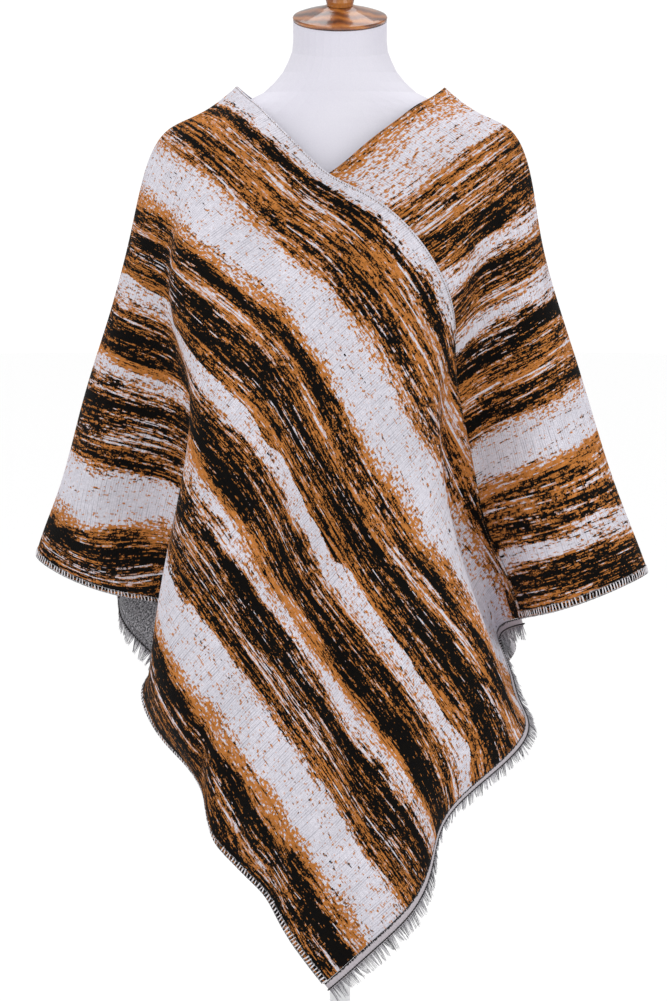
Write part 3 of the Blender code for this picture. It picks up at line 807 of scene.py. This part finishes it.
def runTree(material):
    # a line of separate lock stitches, each a short thread that dips at both ends
    tree, given = newTree("runningStitches", {**runStitch, "Material": material})
    line = evenCurve(tree, given, "Pitch")
    _, _, turn = axesOf(tree)
    half = times(tree, given["Stitch length"], 0.5)
    back = times(tree, half, -1.0)
    dip = times(tree, given["Thread radius"], -1.6)
    crown = times(tree, given["Thread radius"], 1.2)
    corners = [addNode(tree, "ShaderNodeCombineXYZ", None, {0: x, 1: 0.0, 2: z})
               for x, z in ((back, dip), (back, crown), (half, crown), (half, dip))]
    path = addNode(tree, "GeometryNodeCurvePrimitiveBezierSegment", None,
                   {"Resolution": 5, "Start": corners[0], "Start Handle": corners[1],
                    "End Handle": corners[2], "End": corners[3]})
    section = threadSection(tree, 4, given["Thread radius"])
    stitch = threadTube(tree, path, section)
    stretch = randomNode(tree, "FLOAT_VECTOR", (0.85, 1.0, 0.9), (1.15, 1.0, 1.1), given["Seed"])
    stitches = copiesAlong(tree, line, stitch, turn, stretch)
    twin = randomNode(tree, "FLOAT", 0.0, 1.0, 7)
    stitches = storeNamed(tree, "FLOAT", "INSTANCE", stitches, "twin", twin)
    return closeTree(tree, stitches, given["Material"])


def fringeTree(material):
    # loose yarn ends: each leans to the middle of its clump, bends a little and tapers
    tree, given = newTree("fringeYarns", {**fringeCut, "Material": material})
    line = evenCurve(tree, given, "Spacing")
    place = addNode(tree, "GeometryNodeSplineParameter")
    line = storeNamed(tree, "FLOAT", "POINT", line, "along", place.outputs["Length"])
    outward, down, turn = axesOf(tree)
    yarn = addNode(tree, "GeometryNodeCurvePrimitiveLine", None, {"Start": (0, 0, 0), "End": (0, 1, 0)})
    yarn = addNode(tree, "GeometryNodeResampleCurve", {"mode": "COUNT"}, {"Curve": yarn, "Count": 6})
    along = readNamed(tree, "FLOAT", "along")
    clump = mathNode(tree, "DIVIDE", along, given["Clump width"])
    wobble = addNode(tree, "ShaderNodeTexNoise", {"noise_dimensions": "1D"},
                     {"W": clump, "Scale": yarnHabit["driftScale"], "Detail": 1.0})
    clump = fitted(tree, wobble, yarnHabit["clumpDrift"], clump)
    cell = mathNode(tree, "FLOOR", clump)
    inCell = mathNode(tree, "FRACT", clump)
    cellNoise = addNode(tree, "ShaderNodeTexWhiteNoise", {"noise_dimensions": "1D"}, {"W": cell})
    lengthShare = randomNode(tree, "FLOAT", yarnHabit["shortest"], 1.0, given["Seed"])
    clumpShare = fitted(tree, cellNoise.outputs["Value"], *yarnHabit["clumpLength"])
    reach = times(tree, lengthShare, clumpShare)
    reach = times(tree, reach, given["Length"])
    size = addNode(tree, "ShaderNodeCombineXYZ", None, {0: 1.0, 1: reach, 2: 1.0})
    yarns = copiesAlong(tree, line, yarn, turn, size)
    twin = randomNode(tree, "FLOAT", 0.0, 1.0, 7)
    own = randomNode(tree, "FLOAT_VECTOR", (-1, -1, -1), (1, 1, 1), 9)
    for key, kind, value in (("twin", "FLOAT", twin), ("own", "FLOAT_VECTOR", own),
                             ("inCell", "FLOAT", inCell),
                             ("cellLean", "FLOAT_VECTOR", cellNoise.outputs["Color"])):
        yarns = storeNamed(tree, kind, "INSTANCE", yarns, key, value)
    yarns = addNode(tree, "GeometryNodeRealizeInstances", None, {0: yarns})
    share = addNode(tree, "GeometryNodeSplineParameter")
    late = mathNode(tree, "POWER", share.outputs["Factor"], yarnHabit["lateBend"])
    read = {key: readNamed(tree, kind, key)
            for key, kind in (("own", "FLOAT_VECTOR"), ("inCell", "FLOAT"), ("cellLean", "FLOAT_VECTOR"))}
    beside = vectorNode(tree, "CROSS_PRODUCT", down, outward)
    own = addNode(tree, "ShaderNodeSeparateXYZ", None, {0: read["own"]})
    lean = addNode(tree, "ShaderNodeSeparateXYZ", None, {0: read["cellLean"]})
    # towards the middle of the clump, plus the clump's own lean and the yarn's own curl
    pull = fitted(tree, read["inCell"], *yarnHabit["pull"])
    pull = times(tree, pull, given["Clump width"])
    leanX = fitted(tree, lean.outputs[0], *yarnHabit["clumpLean"])
    leanX = fitted(tree, own.outputs[0], yarnHabit["ownLean"], leanX)
    sideways = fitted(tree, leanX, given["Spread"], pull)
    leanZ = fitted(tree, lean.outputs[1], *yarnHabit["clumpLift"])
    leanZ = fitted(tree, own.outputs[2], yarnHabit["ownLift"], leanZ)
    offward = times(tree, leanZ, given["Spread"])
    moveX = scaled(tree, beside, sideways)
    moveZ = scaled(tree, outward, offward)
    move = vectorNode(tree, "ADD", moveX, moveZ)
    move = scaled(tree, move, late)
    yarns = addNode(tree, "GeometryNodeSetPosition", None, {"Geometry": yarns, "Offset": move})
    taper = addNode(tree, "ShaderNodeMapRange", None,
                    {"Value": share.outputs["Factor"], "From Min": 0.0, "From Max": 1.0,
                     "To Min": yarnHabit["taper"][0], "To Max": yarnHabit["taper"][1]})
    section = threadSection(tree, 3, given["Thread radius"])
    tubes = threadTube(tree, yarns, section, taper)
    return closeTree(tree, tubes, given["Material"])


overlock, running, fringes = overlockTree(hemThread), runTree(blackThread), fringeTree(fringeYarn)
print("stitch and fringe trees built")


def selvageWeave():
    # Firm woven selvage: pale pinkish-grey with black ticks on its cloth side.
    material, tree, shader = newMaterial("woven selvage band", 0.9, {"Sheen Weight": 0.1,
                                                                     "Specular IOR Level": 0.25})
    flat = addNode(tree, "ShaderNodeUVMap", {"uv_map": "flat"})
    place = scaled(tree, flat, 1000.0)
    parts = addNode(tree, "ShaderNodeSeparateXYZ", None, {0: place})
    grain = vectorNode(tree, "MULTIPLY", place, (1 / 3.0, 1 / 1.2, 0.0))
    fleck = noiseNode(tree, grain, 1.0, 1.0)
    # ticks: black over the first third of the band's width
    edge = addNode(tree, "ShaderNodeMapRange", None,
                   {"Value": parts.outputs[0], "From Min": hangShape["hem"] * 1000 + 1.5,
                    "From Max": hangShape["hem"] * 1000 + 4.0, "To Min": 0.62, "To Max": 0.0})
    tick = mathNode(tree, "SUBTRACT", edge, fleck)
    tick = fitted(tree, tick, 9.0, 0.5, clamp=True)
    colour = mixColours(tree, fleck, hexColour("#a39ba1"), hexColour("#cfc8cd"))
    colour = mixColours(tree, tick, colour, hexColour("#1c1b1d"))
    feed(tree, colour, shader, "Base Color")
    addBump(tree, shader, 0.4, 0.0003, fleck)
    return material


selvage = {"width": 0.0088, "step": 0.0045, "stitchLine": 0.0076, "wall": 0.9, "yarnRoot": 0.0008}
bandStitch = {"Material": blackThread, "Thread radius": 0.0009, "Stitch length": 0.0036}
seamLine = 0.0020       # the seam's stitches from the edge
selvageCloth = selvageWeave()
trims = []
for side, turned in (("Left", False), ("Right", True)):
    halfNeck, hem, gap = hangShape["halfNeck"], hangShape["hem"], hangShape["gap"]
    surface = hangShape["cloth"] / 2
    # long hem: overlock loops along the outer edge
    run = evenLines(-halfNeck - hangShape["lap"] + 0.002, hem - 0.001, 0.004)
    carrier = carrierLine("hemStitch" + side, run, np.full(len(run), hem - 0.0002), turned, True)
    hemPiece = growOn(carrier, overlock, {"Material": hemThread})
    # seam and neck line on the inner edge
    run = evenLines(-halfNeck + 0.004, hem - 0.004, 0.004)
    carrier = carrierLine("edgeStitch" + side, run, np.full(len(run), halfNeck + seamLine), turned, True,
                          lift=surface)
    edgePiece = growOn(carrier, running, {"Material": seamThread})
    # fringed end: band, its stitch line and the yarns
    end = evenLines(halfNeck + 0.0015, hem - 0.001, selvage["step"])
    uLines = np.linspace(hem + gap, hem + gap + selvage["width"], 5)
    verts, faces, flat, back = shellGrid(uLines, end, turned, hangShape["cloth"] * selvage["wall"])
    band = newObject("selvage" + side, verts, faces, (selvageCloth, reverse), {"flat": flat}, back)
    lines = []
    place = np.full(len(end), hem + gap + selvage["stitchLine"])
    for index, height in enumerate((surface * selvage["wall"], -surface * selvage["wall"])):
        carrier = carrierLine("bandStitch%d%s" % (index, side), place, end, turned, False, lift=height)
        lines.append(growOn(carrier, running, {**bandStitch, "Seed": 6 + index}))
    place = np.full(len(end), hem + gap + selvage["width"] - selvage["yarnRoot"])
    carrier = carrierLine("yarns" + side, place, end, turned, False)
    yarns = growOn(carrier, fringes, {"Material": fringeYarn, "Seed": fringeCut["Seed"] + 1})
    fringe = joinPieces("fringeFront" if side == "Left" else "fringeBack", [band, yarns] + lines)
    trims.append((hemPiece, edgePiece, fringe))
    print("trim", side, [len(p.data.polygons) for p in (hemPiece, edgePiece, fringe)])


# The stand: CAD nodes keep their shapes and get real finishes
def jerseyKnit():
    # Fine cotton jersey stretched over the form: near-white with a lilac cast, soft fuzz, faint ribs.
    material, tree, shader = newMaterial("stretched cotton jersey", 0.88, {"Sheen Weight": 0.2,
                                                                           "Specular IOR Level": 0.2})
    spot = objectPlace(tree)
    fine = vectorNode(tree, "MULTIPLY", spot, (900.0, 900.0, 520.0))
    rib = noiseNode(tree, fine, 1.0, 1.0)
    cloud = noiseNode(tree, spot, 9.0, 2.0)
    mixed = fitted(tree, rib, 0.5, -0.25)
    mixed = mathNode(tree, "ADD", mixed, cloud)
    colour = mixColours(tree, mixed, hexColour("#dedbe8"), hexColour("#eeecf4"))
    feed(tree, colour, shader, "Base Color")
    addBump(tree, shader, 0.25, 0.0002, rib)
    return material


def varnishedWood(name, grainTurn):
    # Turned beech with a red-brown stain under gloss varnish: bent growth rings, darker pores, clear coat.
    material, tree, shader = newMaterial(name, 0.32, {"Coat Weight": 1.0, "Coat Roughness": 0.08})
    spot = objectPlace(tree)
    turned = addNode(tree, "ShaderNodeMapping", None, {"Vector": spot,
                                                       "Rotation": grainTurn,
                                                       "Scale": (1.0, 0.12, 1.0)})
    warp = noiseNode(tree, turned, 22.0, 2.0)
    rings = addNode(tree, "ShaderNodeTexWave", {"wave_type": "RINGS", "rings_direction": "Y"},
                    {"Vector": turned, "Scale": 34.0, "Distortion": 3.5, "Detail": 2.0,
                     "Detail Scale": 1.6})
    pores = vectorNode(tree, "MULTIPLY", turned, (900.0, 500.0, 900.0))
    pore = noiseNode(tree, pores, 1.0, 1.0)
    blend = fitted(tree, warp, 0.6, -0.2)
    blend = fitted(tree, rings.outputs["Fac"], 0.45, blend)
    blend = fitted(tree, pore, 0.3, blend)
    ramp = addNode(tree, "ShaderNodeValToRGB", None, {0: blend})
    line = ramp.color_ramp.elements
    line[0].position, line[0].color = 0.15, hexColour("#4a2008")
    line[1].position, line[1].color = 0.85, hexColour("#c87f32")
    line.new(0.5).color = hexColour("#9a5216")
    feed(tree, ramp, shader, "Base Color")
    addBump(tree, shader, 0.12, 0.0002, pore)
    return material


def powderCoat(name):
    # White powder-coated steel: satin, with the fine orange peel of the baked coat.
    material, tree, shader = newMaterial(name, 0.42)
    spot = objectPlace(tree)
    peel = noiseNode(tree, spot, 420.0, 1.0)
    cloud = noiseNode(tree, spot, 14.0, 2.0)
    colour = mixColours(tree, cloud, hexColour("#e6e6e8"), hexColour("#f1f1f2"))
    feed(tree, colour, shader, "Base Color")
    rough = addNode(tree, "ShaderNodeMapRange", None, {"Value": cloud, "To Min": 0.36, "To Max": 0.5})
    feed(tree, rough, shader, "Roughness")
    addBump(tree, shader, 0.15, 0.0002, peel)
    return material


finishes = {"form_torso": jerseyKnit(),
            "neck_cap": varnishedWood("varnished turned beech cap", (0.2, 0.0, 0.35)),
            "neck_finial": varnishedWood("varnished turned beech finial", (1.3, 0.1, 0.0)),
            "stand_pole": powderCoat("white powder coat pole"),
            "stand_base": powderCoat("white powder coat base")}
for node, finish in finishes.items():
    for slot in bpy.data.objects[node].material_slots:
        slot.material = finish
print("stand finished")

# Floor, light and camera

studio = {"floorRadius": 14.0, "backdrop": 1.05, "world": 0.50, "overhead": 1.8, "key": 11.0,
          "fill": 15.0}


def paleFloor():
    # Seamless white studio paper with a faint tooth.
    material, tree, shader = newMaterial("white studio paper", 0.8)
    spot = objectPlace(tree)
    tooth = noiseNode(tree, spot, 60.0, 2.0)
    colour = mixColours(tree, tooth, hexColour("#f7f7f7"), hexColour("#fbfbfb"))
    feed(tree, colour, shader, "Base Color")
    return material


ring = [(studio["floorRadius"] * math.cos(a), studio["floorRadius"] * math.sin(a), -0.0005)
        for a in np.linspace(0, 2 * math.pi, 65)[:-1]]
floor = newObject("studioFloor", ring, [tuple(range(64))], (paleFloor(),))

world = bpy.data.worlds.new("softStudio")
world.use_nodes = True
# the backdrop shows white while the room lights the cloth more softly
shown = addNode(world.node_tree, "ShaderNodeLightPath")
level = addNode(world.node_tree, "ShaderNodeMapRange", None,
                {"Value": shown.outputs["Is Camera Ray"], "To Min": studio["world"],
                 "To Max": studio["backdrop"]})
world.node_tree.nodes["Background"].inputs[0].default_value = (1.0, 1.0, 1.0, 1.0)
world.node_tree.links.new(level.outputs[0], world.node_tree.nodes["Background"].inputs[1])
bpy.context.scene.world = world


def softLight(name, place, aim, size, power, kind="AREA"):
    lamp = bpy.data.lights.new(name, kind)
    lamp.energy = power
    if kind == "SUN":
        lamp.angle = size
    else:
        lamp.size = size
    light = bpy.data.objects.new(name, lamp)
    light.location = place
    light.rotation_euler = (Vector(aim) - Vector(place)).to_track_quat("-Z", "Y").to_euler()
    bpy.context.scene.collection.objects.link(light)


softLight("keyLight", (-1.3, -1.9, 2.6), (0, 0, 1.1), 1.4, studio["key"])
softLight("fillLight", (2.2, -2.0, 2.2), (0, 0, 1.0), 1.8, studio["fill"])
softLight("overheadLight", (0.0, 0.6, 4.0), (0, 0, 0.0), 1.2, studio["overhead"], "SUN")

shot = {"aim": (hangShape["axisX"], 0.0, 0.90), "distance": 2.85, "pitch": 8.0, "metresPerPixel": 0.001195,
        "height": 1001, "width": 667, "axisPixel": 340.0, "sensor": 24.0}
lens = bpy.data.cameras.new("photoView")
camera = bpy.data.objects.new("photoView", lens)
bpy.context.scene.collection.objects.link(camera)
pitch = math.radians(shot["pitch"])
camera.location = (shot["aim"][0], shot["aim"][1] - shot["distance"] * math.cos(pitch),
                   shot["aim"][2] + shot["distance"] * math.sin(pitch))
camera.rotation_euler = (Vector(shot["aim"]) - camera.location).to_track_quat("-Z", "Y").to_euler()
lens.sensor_fit, lens.sensor_height = "VERTICAL", shot["sensor"]
lens.lens = shot["sensor"] * shot["distance"] / (shot["height"] * shot["metresPerPixel"])
lens.shift_x = (shot["width"] / 2 - shot["axisPixel"]) / shot["height"]
bpy.context.scene.camera = camera
bpy.context.scene.view_settings.view_transform = "Standard"
bpy.context.scene.view_settings.look = "None"

# What rides on what

for cloth, (name, node, turned), (hemPiece, edgePiece, fringe) in zip(cloths, clothPieces["names"], trims):
    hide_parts(node)
    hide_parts("fringe_back" if turned else "fringe_front")
    for piece, slot in ((cloth, "striped_cloth"), (hemPiece, "fringe_yarn"), (edgePiece, "fringe_yarn"),
                        (fringe, "fringe_yarn")):
        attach(piece, "root")
